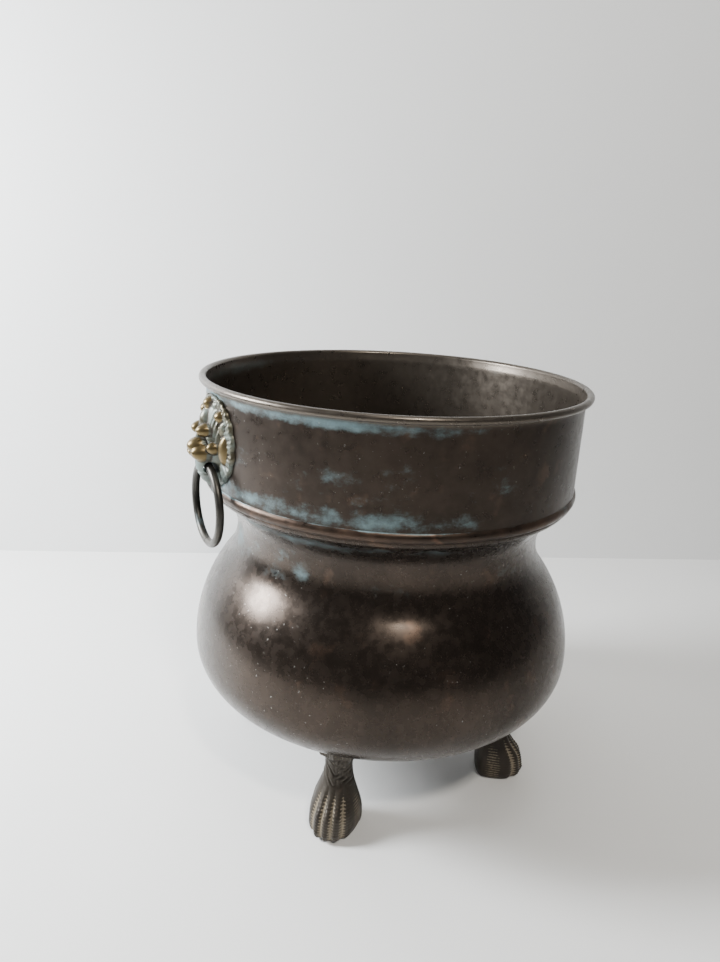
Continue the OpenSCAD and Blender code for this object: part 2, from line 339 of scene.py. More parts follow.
def spinning_tree() -> Growth:
    """A tree that spins a profile round the axis and planishes it with shallow hammer marks."""
    sizes = dict.fromkeys(("Mark Depth", "Mark Size", "Mark Top", "Dent Depth", "Seed"), "Float")
    g = Growth("spun_sheet", {"Geometry": "Geometry", "Segments": "Int", "Outer Points": "Int", **sizes,
                              "Material": "Material"})
    count = g.add("GeometryNodeAttributeDomainSize", {0: g.given["Geometry"]}, "Point Count", component="MESH")
    columns = g.math("ADD", g.given["Segments"], 1.0)
    grid = g.add("GeometryNodeMeshGrid", {"Vertices X": columns, "Vertices Y": count}, "Mesh")
    index = g.add("GeometryNodeInputIndex")
    column = g.math("FLOOR", g.math("DIVIDE", index, count))
    row = g.math("SUBTRACT", index, g.math("MULTIPLY", column, count))
    where = g.add("GeometryNodeInputPosition")
    corner = g.add("GeometryNodeSampleIndex", {"Geometry": g.given["Geometry"], "Value": where, "Index": row},
                   data_type="FLOAT_VECTOR")
    split = g.add("ShaderNodeSeparateXYZ", {0: corner}).node
    turn = g.math("MULTIPLY", g.math("DIVIDE", column, g.given["Segments"]), math.tau)
    x = g.math("MULTIPLY", split.outputs["X"], g.math("COSINE", turn))
    y = g.math("MULTIPLY", split.outputs["X"], g.math("SINE", turn))
    placed = g.add("ShaderNodeCombineXYZ", {"X": x, "Y": y, "Z": split.outputs["Z"]})
    spun = g.add("GeometryNodeSetPosition", {"Geometry": grid, "Position": placed})
    outer = g.math("LESS_THAN", row, g.given["Outer Points"])
    kept = g.add("GeometryNodeStoreNamedAttribute", {"Geometry": spun, "Name": "outer", "Value": outer},
                 data_type="FLOAT", domain="POINT")
    merged = g.add("GeometryNodeMergeByDistance", {"Geometry": kept, "Distance": 1e-6})
    marks = g.add("ShaderNodeTexVoronoi", {"Vector": where, "Scale": g.math("DIVIDE", 1.0, g.given["Mark Size"]),
                                           "W": g.given["Seed"], "Smoothness": 0.35},
                  "Distance", voronoi_dimensions="4D", feature="SMOOTH_F1")
    hollow = g.math("SUBTRACT", 1.0, g.math("MULTIPLY", marks, 1.4), clamp=True)
    height = g.add("ShaderNodeSeparateXYZ", {0: where}, "Z")
    low = g.add("ShaderNodeMapRange", {"Value": height, "From Min": g.given["Mark Top"], "From Max": 0.04,
                                       "To Min": 0.15, "To Max": 1.0}, interpolation_type="SMOOTHSTEP")
    dents = g.add("ShaderNodeTexNoise", {"Vector": where, "W": g.given["Seed"], "Scale": 11.0, "Detail": 1.0},
                  noise_dimensions="4D")
    deep = g.math("ADD", g.math("MULTIPLY", g.math("MULTIPLY", hollow, low), g.given["Mark Depth"]),
                  g.math("MULTIPLY", dents, g.given["Dent Depth"]))
    facing = g.add("GeometryNodeInputNormal")
    kept_side = g.add("GeometryNodeInputNamedAttribute", {"Name": "outer"}, "Attribute", data_type="FLOAT")
    sign = g.math("SUBTRACT", 1.0, g.math("MULTIPLY", kept_side, 2.0))
    shift = g.add("ShaderNodeVectorMath", {0: facing, "Scale": g.math("MULTIPLY", deep, sign)}, operation="SCALE")
    g.close(g.add("GeometryNodeSetPosition", {"Geometry": merged, "Offset": shift}))
    return g


def bent_rod_tree() -> Growth:
    """A tree that bends a rod round an arc about the X axis, its butted ends at the bottom."""
    sizes = dict.fromkeys(("Ring Radius", "Rod Radius", "Butt Gap"), "Float")
    g = Growth("bent_rod", {"Geometry": "Geometry", **sizes, "Steps": "Int", "Material": "Material"})
    half = g.math("DIVIDE", g.math("DIVIDE", g.given["Butt Gap"], 2.0), g.given["Ring Radius"])
    sweep = g.math("SUBTRACT", math.tau, g.math("MULTIPLY", half, 2.0))
    path = g.add("GeometryNodeCurveArc", {"Resolution": g.given["Steps"], "Radius": g.given["Ring Radius"],
                                          "Start Angle": half, "Sweep Angle": sweep})
    along = g.add("GeometryNodeSplineParameter", None, "Factor")
    ends = g.math("ABSOLUTE", g.math("SUBTRACT", g.math("MULTIPLY", along, 2.0), 1.0))
    thin = g.add("ShaderNodeMapRange", {"Value": ends, "From Min": 0.975, "From Max": 1.0, "To Min": 1.0,
                                        "To Max": 0.9}, interpolation_type="SMOOTHSTEP")
    where = g.add("GeometryNodeInputPosition")
    wear = g.add("ShaderNodeTexNoise", {"Vector": where, "Scale": 130.0, "Detail": 1.0})
    size = g.math("MULTIPLY", thin, g.math("SUBTRACT", 1.0, g.math("MULTIPLY", wear, 0.05)))
    sized = g.add("GeometryNodeSetCurveRadius", {"Curve": path, "Radius": size})
    section = g.add("GeometryNodeCurvePrimitiveCircle", {"Resolution": 28, "Radius": g.given["Rod Radius"]})
    rod = g.add("GeometryNodeCurveToMesh", {"Curve": sized, "Profile Curve": section, "Fill Caps": True})
    # the arc starts on +X: a quarter turn about Y stands it up with its ends at the bottom
    stood = g.add("GeometryNodeTransform", {"Geometry": rod, "Rotation": (0.0, math.pi / 2, 0.0)})
    g.close(stood)
    return g


def fastener_tree() -> Growth:
    """A tree that puts a screw or washer on each of several seats round the axis."""
    sizes = dict.fromkeys(("First Azimuth", "Step", "Seat Radius", "Seat Height", "Tilt"), "Float")
    g = Growth("fasteners", {"Geometry": "Geometry", "Count": "Int", **sizes, "Material": "Material"})
    seats = g.add("GeometryNodeMeshLine", {"Count": g.given["Count"]})
    along = g.math("MULTIPLY", g.add("GeometryNodeInputIndex"), g.given["Step"])
    turn = g.math("ADD", g.given["First Azimuth"], along)
    place = g.add("ShaderNodeCombineXYZ", {
        "X": g.math("MULTIPLY", g.math("COSINE", turn), g.given["Seat Radius"]),
        "Y": g.math("MULTIPLY", g.math("SINE", turn), g.given["Seat Radius"]), "Z": g.given["Seat Height"]})
    seats = g.add("GeometryNodeSetPosition", {"Geometry": seats, "Position": place})
    aim = g.add("ShaderNodeCombineXYZ", {"Y": g.math("MULTIPLY", g.given["Tilt"], -1.0), "Z": turn})
    g.close(g.add("GeometryNodeInstanceOnPoints",
                  {"Points": seats, "Instance": g.given["Geometry"], "Rotation": aim}))
    return g


@dataclass(frozen=True)
class Patina:
    """Aged copper or brass: metal, its brown skin, green crust, dusting, painted shade in recesses, and scuffs."""

    name: str
    dark: tuple = (0.024, 0.018, 0.014)
    mid: tuple = (0.050, 0.037, 0.029)
    rub: tuple = (0.095, 0.060, 0.042)
    crust: tuple = (0.130, 0.205, 0.225)
    bands: tuple = ()  # (height, spread, strength) of green bands, in millimetres
    streak: float = 0.0
    crust_all: float = 0.12
    scuffs: float = 0.3
    rough: tuple = (0.26, 0.50)
    metallic: float = 0.8
    grain: float = 0.1
    wear: str = ""  # an attribute: 1 where handling keeps the metal bright
    dust: str = ""  # an attribute: 1 where it is dusty, and on the masks 1 in the recesses, where shade is painted
    sheltered: str = ""  # an attribute: 0 on the inside, where little crust grows
    bright: tuple = (0.125, 0.092, 0.042)
    # colour laid where that attribute marks: a pale dusting by default, and on the masks a dark brown that paints
    # shade into the recesses
    dirt_and_shade: tuple = (0.20, 0.165, 0.115)
    seed: float = 0.0

    def material(self) -> bpy.types.Material:
        """Builds the finish as nodes on object coordinates."""
        stuff = bpy.data.materials.new(self.name)
        stuff.use_nodes = True
        g = Graph(stuff.node_tree)
        place = g.add("ShaderNodeTexCoord", None, "Object")
        mm = g.add("ShaderNodeVectorMath", {0: place, "Scale": 1000.0}, operation="SCALE")
        high = g.add("ShaderNodeSeparateXYZ", {0: mm}, "Z")
        clouds = self.noise(g, mm, 0.022, 4.0, 0.62, shift=1.0)
        spots = self.noise(g, mm, 0.16, 3.0, 0.6, shift=2.0)
        fine = self.noise(g, mm, 0.9, 3.0, 0.6, shift=3.0)
        tone = g.math("ADD", g.math("MULTIPLY", clouds, 0.7), g.math("MULTIPLY", spots, 0.3))
        skin = self.mix(g, self.ramp(g, tone, 0.28, 0.74), self.dark, self.mid)
        rubbed = g.math("MULTIPLY", self.ramp(g, self.noise(g, mm, 0.05, 3.0, 0.6, shift=7.0), 0.58, 0.72), 0.45)
        colour = self.mix(g, rubbed, skin, self.rub)
        if self.wear:
            worn = g.add("ShaderNodeAttribute", None, "Fac", attribute_name=self.wear)
            broken = g.math("ADD", worn, g.math("MULTIPLY", g.math("SUBTRACT", spots, 0.5), 0.5))
            bright = self.ramp(g, broken, 0.35, 0.75)
            colour = self.mix(g, bright, colour, self.bright)
        around = g.add("ShaderNodeVectorMath", {0: mm, 1: WEATHER_SIDE}, "Value", operation="DOT_PRODUCT")
        side = self.ramp(g, around, -70.0, 115.0)
        green = self.crust_mask(g, mm, high, side)
        if self.sheltered:
            open_air = g.add("ShaderNodeAttribute", None, "Fac", attribute_name=self.sheltered)
            inside = self.mix(g, tone, (0.070, 0.058, 0.047), (0.100, 0.085, 0.070))
            colour = self.mix(g, open_air, inside, colour)
            green = g.math("MULTIPLY", green, g.math("ADD", g.math("MULTIPLY", open_air, 0.75), 0.25))
        if self.wear:
            green = g.math("MULTIPLY", green, g.math("SUBTRACT", 1.0, bright))
        colour = self.mix(g, green, colour, self.mix(g, fine, self.crust, tuple(1.35 * c for c in self.crust)))
        dull = green
        # a pale dusting on the paws; on the masks this same step paints shade, a dark colour in the recesses, and
        # dulls them
        if self.dust:
            dust_and_shade_map = g.add("ShaderNodeAttribute", None, "Fac", attribute_name=self.dust)
            patchy = g.math("MULTIPLY", g.math("SUBTRACT", fine, 0.5), 0.9)
            dust_and_shade_share = self.ramp(g, g.math("ADD", dust_and_shade_map, patchy), 0.42, 0.92)
            colour = self.mix(g, dust_and_shade_share, colour, self.dirt_and_shade)
            dull = g.math("MAXIMUM", green, dust_and_shade_share)
        specks = self.ramp(g, self.noise(g, mm, 0.55, 2.0, 0.5, shift=11.0), 0.70, 0.77)
        flecks = g.math("MULTIPLY", g.math("MULTIPLY", specks, self.ramp(g, clouds, 0.42, 0.6)), self.scuffs)
        flecks = g.math("MULTIPLY", flecks, g.math("ADD", g.math("MULTIPLY", side, 0.85), 0.15))
        colour = self.mix(g, flecks, colour, (0.38, 0.38, 0.36))
        dull = g.math("MAXIMUM", dull, flecks)
        rough = g.add("ShaderNodeMapRange", {"Value": spots, "From Min": 0.3, "From Max": 0.7,
                                             "To Min": self.rough[0], "To Max": self.rough[1]})
        rough = g.math("ADD", rough, g.math("MULTIPLY", dull, 0.35), clamp=True)
        metal = g.math("MULTIPLY", g.math("SUBTRACT", 1.0, dull), self.metallic)
        relief = g.math("ADD", g.math("MULTIPLY", spots, 0.5), g.math("MULTIPLY", fine, 0.12))
        relief = g.math("ADD", relief, g.math("MULTIPLY", green, 0.15))
        bump = g.add("ShaderNodeBump", {"Height": relief, "Strength": self.grain, "Distance": 0.0004})
        shader = g.add("ShaderNodeBsdfPrincipled", {"Base Color": colour, "Roughness": rough, "Metallic": metal,
                                                    "Normal": bump})
        g.add("ShaderNodeOutputMaterial", {"Surface": shader})
        return stuff

    def noise(self, g: Graph, at: Value, scale: float, detail: float, rough: float, shift: float) -> Value:
        """A noise pattern, with scale in turns per millimetre."""
        shifted = g.add("ShaderNodeVectorMath", {0: at, 1: (shift * 37.0 + self.seed, shift * 11.0, shift * 5.0)},
                      operation="ADD")
        return g.add("ShaderNodeTexNoise", {"Vector": shifted, "Scale": scale, "Detail": detail, "Roughness": rough})

    @staticmethod
    def ramp(g: Graph, value: Value, low: float, high: float) -> Value:
        """A soft step from 0 to 1."""
        return g.add("ShaderNodeMapRange", {"Value": value, "From Min": low, "From Max": high},
                     interpolation_type="SMOOTHSTEP")

    @staticmethod
    def mix(g: Graph, share: Value, a: Value, b: Value) -> Value:
        """A blend of two colours."""
        a, b = ((*c, 1.0) if isinstance(c, tuple) else c for c in (a, b))
        return g.add("ShaderNodeMix", {0: share, 6: a, 7: b}, 2, data_type="RGBA")

    def crust_mask(self, g: Graph, mm: Value, high: Value, side: Value) -> Value:
        """Where the green crust lies: bands by height, broken by streaks and patches."""
        band: Value = self.crust_all
        for middle, spread, strength in self.bands:
            off = g.math("DIVIDE", g.math("ABSOLUTE", g.math("SUBTRACT", high, middle)), spread)
            near = g.add("ShaderNodeMapRange", {"Value": off, "From Min": 1.0, "From Max": 0.0, "To Max": strength},
                         interpolation_type="SMOOTHSTEP")
            band = g.math("MAXIMUM", band, near)
        side = g.math("ADD", g.math("MULTIPLY", side, 0.75), 0.35)
        patches = self.noise(g, mm, 0.03, 6.0, 0.68, shift=4.0)
        drawn = g.add("ShaderNodeVectorMath", {0: mm, 1: (0.55, 0.55, 1.0)}, operation="MULTIPLY")
        streaks = self.noise(g, drawn, 0.09, 6.0, 0.7, shift=5.0)
        broken = g.math("ADD", g.math("MULTIPLY", patches, 1.0 - self.streak),
                        g.math("MULTIPLY", streaks, self.streak))
        broken = g.math("MULTIPLY", g.math("SUBTRACT", broken, 0.5), 3.0)
        amount = g.math("ADD", g.math("MULTIPLY", band, side), broken)
        return g.math("MULTIPLY", self.ramp(g, amount, 0.40, 1.25), 0.9)


def in_part(x: float, y: float, z: float) -> tuple[float, float, float]:
    """A direction or place of the picture's own frame, turned into the part's frame."""
    return tuple(Matrix.Rotation(math.radians(PHOTO_TURN), 3, "Z") @ Vector((x, y, z)))


WEATHER_SIDE = in_part(-0.8, -0.6, 0.0)


@dataclass
class Sheet:
    """The sheet-metal vessel: bowl, collar with its rolled rim, and waist bead."""

    rim_r: float = 130.0
    wall_r: float = 125.5
    sheet: float = 1.0
    wire_r: float = 1.3
    lip_h: float = 7.0
    seam_z: float = 218.0
    rim_z: float = 290.0
    bead_h: float = 6.4
    bead_out: float = 1.5
    bead_lift: float = 0.6
    neck_r: float = 105.5
    neck_z: float = 186.4
    neck_bend_r: float = 5.0
    cove_r: float = 37.0
    belly_r: float = 135.0
    belly_z: float = 103.0
    turn_r: float = 36.0
    slope: float = 20.0
    base_r: float = 60.0
    base_z: float = 50.5
    lap_h: float = 10.0
    foot_r: float = 90.0
    hole_r: float = 2.2
    mask_screw_pitch: float = 30.0
    mask_screw_z: float = 245.8
    seat_gap: float = 0.1

    @property
    def lap_r(self) -> float:
        """Outer radius of the bowl's lap inside the collar."""
        return self.wall_r - self.sheet - self.seat_gap

    @property
    def seat_z(self) -> float:
        """Height of the bowl's underside over a foot's middle."""
        return self.underside(self.foot_r)

    def underside(self, r: Value) -> Value:
        """Height of the bowl's sloping underside at a distance from the axis."""
        return self.base_z + (r - self.base_r) * math.tan(math.radians(self.slope))

    def seat(self, azimuth: float) -> Matrix:
        """A foot's seat: a frame with Z square to the sheet and into the bowl, in millimetres."""
        return turned(azimuth, "Z") @ moved(self.foot_r, 0, self.seat_z) @ turned(-self.slope, "Y")

    @property
    def mask_screw_lean(self) -> float:
        """Azimuth of a mask's screws from its middle, in degrees."""
        return math.degrees(math.asin(self.mask_screw_pitch / 2 / self.wall_r))

    def mask_seat(self, side: float, sign: int) -> Matrix:
        """A mask screw's seat: a frame with Z towards the axis, in millimetres."""
        return (turned(side + sign * self.mask_screw_lean, "Z") @ moved(self.wall_r, 0, self.mask_screw_z)
                @ turned(-90, "Y"))

    def bowl_side(self, inset: float) -> Points:
        """One side of the bowl's profile, from the axis at the base up to the lap."""
        r, h = self.belly_r - self.neck_r, self.neck_z - self.belly_z
        belly_arc = (r * r + h * h) / (2 * r) - self.cove_r
        belly_c = self.belly_r - belly_arc
        cove_c = self.neck_r + self.cove_r
        lean = math.degrees(math.atan2(h, cove_c - belly_c))
        m, d, b = self.neck_r - self.lap_r + self.neck_bend_r, self.seam_z - self.neck_z, self.neck_bend_r
        upper_r = (m * m + d * d - b * b) / (2 * (b - m))
        upper_c = self.neck_r + upper_r
        upper = math.degrees(math.atan2(d, upper_c - self.lap_r + b))
        i = inset
        return np.concatenate([
            [[0, self.base_z + i], [self.base_r - i * math.tan(math.radians(self.slope / 2)), self.base_z + i]],
            arc(self.belly_r - self.turn_r, self.belly_z, self.turn_r - i, self.slope - 90, 0),
            arc(belly_c, self.belly_z, belly_arc - i, 1, lean, 60),
            arc(cove_c, self.neck_z, self.cove_r + i, 179 + lean, 180),
            arc(upper_c, self.neck_z, upper_r + i, 179, 180 - upper),
            arc(self.lap_r - b, self.seam_z, b - i, 4 - upper, 0, 12),
            [[self.lap_r - i, self.seam_z + self.lap_h]],
        ])

    def collar_outline(self) -> Points:
        """The collar's section: wall, flared lip and the roll round the rim wire."""
        roll = self.wire_r + 0.05 + self.sheet
        cr, cz = self.rim_r - roll, self.rim_z - roll
        crease = self.rim_z - self.lip_h
        inner = self.wall_r - self.sheet
        r_in = self.wire_r + 0.05
        start = math.degrees(math.asin(0.6 / roll))
        return np.concatenate([
            [[inner, self.seam_z], [self.wall_r, self.seam_z], [self.wall_r, crease - 0.8],
             [self.wall_r + 0.12, crease + 0.1]],
            [[cr - r_in - 0.25, cz - 1.2]],
            arc(cr, cz, r_in, 205, -60, 34),
            arc(cr, cz, roll, -62, 180, 44),
            [[inner + 0.15, crease + 0.5], [inner, crease - 0.4], [inner, self.seam_z]],
        ])

    def bead_outline(self) -> Points:
        """The waist bead's section: a shallow bow with a flat back."""
        half, out = self.bead_h / 2, self.bead_out
        bow = (half * half + out * out) / (2 * out)
        reach = math.degrees(math.asin(half / bow)) - 1.2
        low = self.seam_z + self.bead_lift
        back = self.wall_r + self.seat_gap
        curve = arc(self.wall_r + out - bow, low + half, bow, -reach, reach, 26)
        return np.concatenate([[[back, low + 0.15]], curve, [[back, low + 2 * half - 0.15], [back, low + 0.15]]])

    def spin(self, tree: Growth, name: str, outer: Points, inner: Points, step: float, finish: Patina,
             marks: tuple[float, float, float, float], segments: int, seed: float) -> bpy.types.Object:
        """Spins a profile into a piece.

        Args:
            tree: The spinning tree.
            name: The piece's name.
            outer: The profile's outward side.
            inner: The rest of the profile, going on from the outer side's end.
            step: Distance between points of the profile.
            finish: The piece's finish.
            marks: Depth and size of the hammer marks, the height they fade at, and depth of dents.
            segments: Steps round the axis.
            seed: Picks the pattern.

        Returns:
            The piece.
        """
        first = resample(outer, step)
        line = np.concatenate([first, resample(inner, step)[1:] if len(inner) else np.zeros((0, 2))])
        points = np.stack([line[:, 0], np.zeros(len(line)), line[:, 1]], axis=1)
        mesh = bpy.data.meshes.new(name)
        mesh.from_pydata((points * MM).tolist(), [(k, k + 1) for k in range(len(line) - 1)], [])
        piece = bpy.data.objects.new(name, mesh)
        bpy.context.scene.collection.objects.link(piece)
        depth, size, top, dent = (v * MM for v in marks)
        tree.grow(piece, Segments=segments, Outer_Points=len(first), Mark_Depth=depth, Mark_Size=size,
                  Mark_Top=top, Dent_Depth=dent, Seed=seed, Material=finish.material())
        return piece

    def build(self) -> None:
        """Builds and dresses the bowl, the collar and the bead."""
        tree = spinning_tree()
        side, back = even(self.bowl_side(0.0), 1.9), even(self.bowl_side(self.sheet)[::-1], 3.2)
        bowl = self.spin(tree, "bowl_sheet", side, np.concatenate([side[-1:], back]), 4.0, BOWL_FINISH,
                         (0.16, 13.0, 150.0, 0.25), 288, 3.0)
        drill(bowl, [(self.seat(foot.value), self.hole_r, -3.0, 3.0) for foot in Foot])
        outline = self.collar_outline()
        collar = self.spin(tree, "collar_sheet", outline[:4], outline[3:], 2.2, COLLAR_FINISH,
                           (0.03, 16.0, 290.0, 0.05), 288, 5.0)
        drill(collar, [(self.mask_seat(end.value, sign), 1.7, -2.0, 4.0) for end in Side for sign in (-1, 1)])
        bead = self.spin(tree, "bead_band", self.bead_outline(), np.zeros((0, 2)), 0.6, BEAD_FINISH,
                         (0.02, 9.0, 290.0, 0.0), 320, 8.0)
        for piece, node in ((bowl, "bowl"), (collar, "collar"), (bead, "waist_bead")):
            soften(piece, 45)
            settle(piece, "vessel", node)


@dataclass
class Mask:
    """A cast lion mask, bored across its muzzle for the ring."""

    sheet: Sheet
    height: float = 57.6
    width: float = 56.0
    top_z: float = 282.8
    plate: float = 1.9
    bore_r: float = 4.2
    bore_x: float = 131.2
    bore_z: float = 239.5
    tufts: int = 18
    columns: int = 324
    rows: int = 104

    def outline(self, turn: Points) -> Points:
        """The plate's edge, sideways and up from its middle, at angles in radians."""
        tuft = 0.965 + 0.035 * np.abs(np.sin(self.tufts * turn / 2))
        power = np.where(np.sin(turn) > 0, 0.72, 1.1)
        across = np.sign(np.cos(turn)) * np.abs(np.cos(turn)) ** power
        return np.stack([self.width / 2 * across * tuft, self.height / 2 * np.sin(turn) * tuft], axis=-1)

    @staticmethod
    def dome(s: Points, t: Points, at: tuple, size: tuple, top: float, foot: float, tilt: float = 0.0) -> Points:
        """An egg-shaped rise.

        Args:
            s: Distance sideways from the mask's middle.
            t: Drop from its top.
            at: Middle of the rise, as s and t.
            size: Half width and half height.
            top: Height of the crown over the wall.
            foot: Height of the rise's edge.
            tilt: Turn in degrees.

        Returns:
            The rise's height at each point, far below the foot outside it.
        """
        c, w = math.cos(math.radians(tilt)), math.sin(math.radians(tilt))
        ds, dt = s - at[0], t - at[1]
        d2 = ((ds * c + dt * w) / size[0]) ** 2 + ((dt * c - ds * w) / size[1]) ** 2
        return np.where(d2 < 1, foot + (top - foot) * np.sqrt(np.clip(1 - d2, 0, 1)), foot - 6 * (np.sqrt(d2) - 1))

    def relief(self, s: Points, t: Points, edge: Points) -> tuple[Points, Points]:
        """The carving.

        Args:
            s: Distance sideways.
            t: Drop from the mask's top.
            edge: Distance in from the plate's edge.

        Returns:
            Height over the wall, and how worn each point is from 0 to 1.
        """
        a = np.abs(s)
        turn = np.arctan2(t - 29.0, s)
        far = np.hypot(s, (t - 29.0) * 0.92)
        locks = np.abs(np.sin(turn * 9.0 + 0.22 * far))
        strands = np.sin(turn * 54.0 + 1.3 * np.sin(far * 0.42))
        mane = smooth_step(13.0, 17.5, far)
        h = self.plate + 0.75 * mane * (locks ** 0.7 - 0.25) + 0.22 * mane * strands
        h += 0.3 * np.exp(-((edge - 1.0) / 0.5) ** 2)
        worn = 0.25 * mane * smooth_step(0.6, 1.0, locks)
        skull = self.dome(a, t, (0, 27), (15.5, 25), 7.6, 0.5)
        furrow = 0.28 * np.sin(a * 2.6 + t * 0.45) * smooth_step(6.0, 10.0, a) * smooth_step(38, 26, t)
        h = smooth_max(h, skull + furrow, 1.4)
        rises = (
            ((0, 15.5), (6.2, 9.5), 9.8, 1.0, 0.0, 0.25),
            ((0, 26), (3.6, 8.5), 12.4, 4.0, 0.0, 0.2),
            ((4.9, 20.6), (5.2, 4.6), 13.6, 5.0, -16.0, 1.0),
            ((8.2, 24.4), (3.1, 1.7), 8.6, 6.2, 14.0, 0.3),
            ((0, 30.6), (7.0, 6.2), 17.7, 7.0, 0.0, 1.0),
            ((4.0, 34.2), (6.4, 6.2), 16.6, 6.0, 0.0, 1.0),
            ((0, 42.0), (9.4, 10.5), 12.6, 4.0, 0.0, 0.1),
            ((0, 49.6), (6.8, 5.6), 9.6, 2.4, 0.0, 0.35),
            ((0, 53.4), (4.4, 3.8), 6.4, 1.0, 0.0, 0.3),
            ((11.0, 30.4), (3.9, 4.3), 9.4, 2.5, 0.0, 1.0),
            ((14.3, 11.0), (4.4, 4.0), 5.8, 0.5, 0.0, 1.0),
            ((17.0, 18.0), (2.7, 5.0), 4.0, 1.2, 16.0, 0.5),
            ((19.0, 30.4), (4.6, 9.4), 5.4, 0.6, 4.0, 1.0),
            ((15.6, 43.6), (3.4, 6.4), 2.9, 1.0, -24.0, 0.35),
            ((0, 5.0), (4.8, 4.5), 7.4, 0.6, 0.0, 1.0),
            ((6.4, 5.6), (3.0, 2.6), 3.6, 1.2, 20.0, 0.4),
        )
        for at, size, top, foot, tilt, shine in rises:
            rise = self.dome(a, t, at, size, top, foot, tilt)
            crown = smooth_step(foot + 0.08 * (top - foot), foot + 0.45 * (top - foot), rise)
            worn = np.maximum(worn, shine * crown * (rise > h - 0.6))
            h = smooth_max(h, rise, 0.7)
        nostril = np.exp(-((a - 2.6) / 1.0) ** 2 - ((t - 33.6) / 0.8) ** 2)
        mouth = np.exp(-((t - 46.6 - 0.03 * a * a) / 0.7) ** 2) * smooth_step(9.0, 6.5, a)
        split = np.exp(-(s / 0.6) ** 2) * smooth_step(35.5, 37.5, t) * smooth_step(42.5, 40.5, t)
        h = h - 1.0 * nostril - 1.0 * mouth - 0.7 * split
        return h, np.clip(worn - nostril - mouth - split, 0, 1)

    def build(self, side: Side, finish: Patina) -> bpy.types.Object:
        """Builds a mask on one side of the collar.

        Args:
            side: The side.
            finish: Its finish.

        Returns:
            The mask.
        """
        turn = np.linspace(0, math.tau, self.columns, endpoint=False)
        edge = self.outline(turn)
        middle = np.array([0.0, -2.2])
        share = np.linspace(0, 1, self.rows) ** 0.92
        front = middle + (edge - middle)[None] * share[1:, None, None]
        reach = np.linalg.norm(edge - middle, axis=1)[None] * (1 - share[1:, None])
        s, t = front[..., 0], self.height / 2 - front[..., 1]
        h, worn = self.relief(s, t, reach)
        # how far each point lies below its neighbours: the mask's finish paints shade with it, darkening the
        # recesses
        around = sum(np.roll(h, k, axis=1) for k in range(-4, 5)) / 9
        spread = sum(np.roll(around, k, axis=0) for k in (-2, 0, 2)) / 3
        crease = np.clip((spread - h) / 0.35, 0, 1) * smooth_step(0.8, 2.0, reach)
        h = h - 0.9 * np.exp(-reach / 0.5)
        mid_t = self.height / 2 - middle[1]
        mid_h, mid_worn = self.relief(np.array([0.0]), np.array([mid_t]), np.array([25.0]))
        back_r = self.sheet.wall_r + self.sheet.seat_gap
        rings_s, rings_t, rings_r = [s], [t], [self.sheet.wall_r + h]
        for part in (1.0, 0.85, 0.6, 0.3):
            ring = middle + (edge - middle) * part
            rings_s.append(ring[None, :, 0])
            rings_t.append(self.height / 2 - ring[None, :, 1])
            rings_r.append(np.full((1, self.columns), back_r))
        s, t, r = (np.concatenate(v).ravel() for v in (rings_s, rings_t, rings_r))
        s = np.concatenate([s, [0, 0]])
        t = np.concatenate([t, [mid_t] * 2])
        r = np.concatenate([r, [self.sheet.wall_r + mid_h[0], back_r]])
        worn = np.concatenate([worn.ravel(), np.zeros(4 * self.columns), mid_worn, [0.0]])
        crease = np.concatenate([crease.ravel(), np.zeros(4 * self.columns + 2)])
        lift = np.sqrt(np.maximum(r * r - s * s, 1.0))
        points = np.stack([lift, s, self.top_z - t], axis=1)
        count = self.columns
        total = len(points) - 2
        faces = []
        for row in range(total // count - 1):
            for k in range(count):
                a, b = row * count + k, row * count + (k + 1) % count
                faces.append((a, b, b + count, a + count))
        last = total - count
        faces += [(total, (k + 1) % count, k) for k in range(count)]
        faces += [(total + 1, last + k, last + (k + 1) % count) for k in range(count)]
        mask = make_object(f"mask_casting_{side.name.lower()}", points, faces, {"worn": worn, "crease": crease})
        bore = moved(self.bore_x, 0, self.bore_z) @ turned(90, "X")
        taps = [(self.sheet.mask_seat(0, sign), 1.55, -1.7, 1.0) for sign in (-1, 1)]
        drill(mask, [(bore, self.bore_r, -19.0, 19.0)] + taps)
        mask.data.transform(turned(side.value, "Z"))
        mask.data.materials.clear()
        mask.data.materials.append(finish.material())
        soften(mask, 50)
        settle(mask, "vessel", f"mask_{side.name.lower()}")
        return mask


@dataclass
class Ring:
    """A ring of bent rod that hangs in a mask's muzzle."""

    ring_r: float = 25.5
    rod_r: float = 2.5
    butt_gap: float = 0.5
    bore_x: float = 131.2
    bore_z: float = 239.5
    bore_l: float = 18.0
    bore_r: float = 4.2
    rest_gap: float = 0.3

    @property
    def drop(self) -> float:
        """How far the ring's centre hangs below the bore's axis."""
        inner = self.ring_r - self.rod_r
        return math.sqrt(inner ** 2 - (self.bore_l / 2) ** 2) + self.bore_r - self.rest_gap

    def build(self, tree: Growth, side: Side, finish: Patina) -> None:
        """Bends a ring and hangs it on one side."""
        low = side.name.lower()
        ring = bpy.data.objects.new(f"ring_rod_{low}", bpy.data.meshes.new("rod"))
        bpy.context.scene.collection.objects.link(ring)
        tree.grow(ring, Ring_Radius=self.ring_r * MM, Rod_Radius=self.rod_r * MM * 1.02, Butt_Gap=self.butt_gap * MM,
                  Steps=200, Material=finish.material())
        hang = Matrix.Translation((self.bore_x * MM, 0, (self.bore_z - self.drop) * MM))
        ring.data.transform(turned(side.value, "Z") @ hang)
        soften(ring, 40)
        settle(ring, f"handle_{low}", f"ring_{low}")


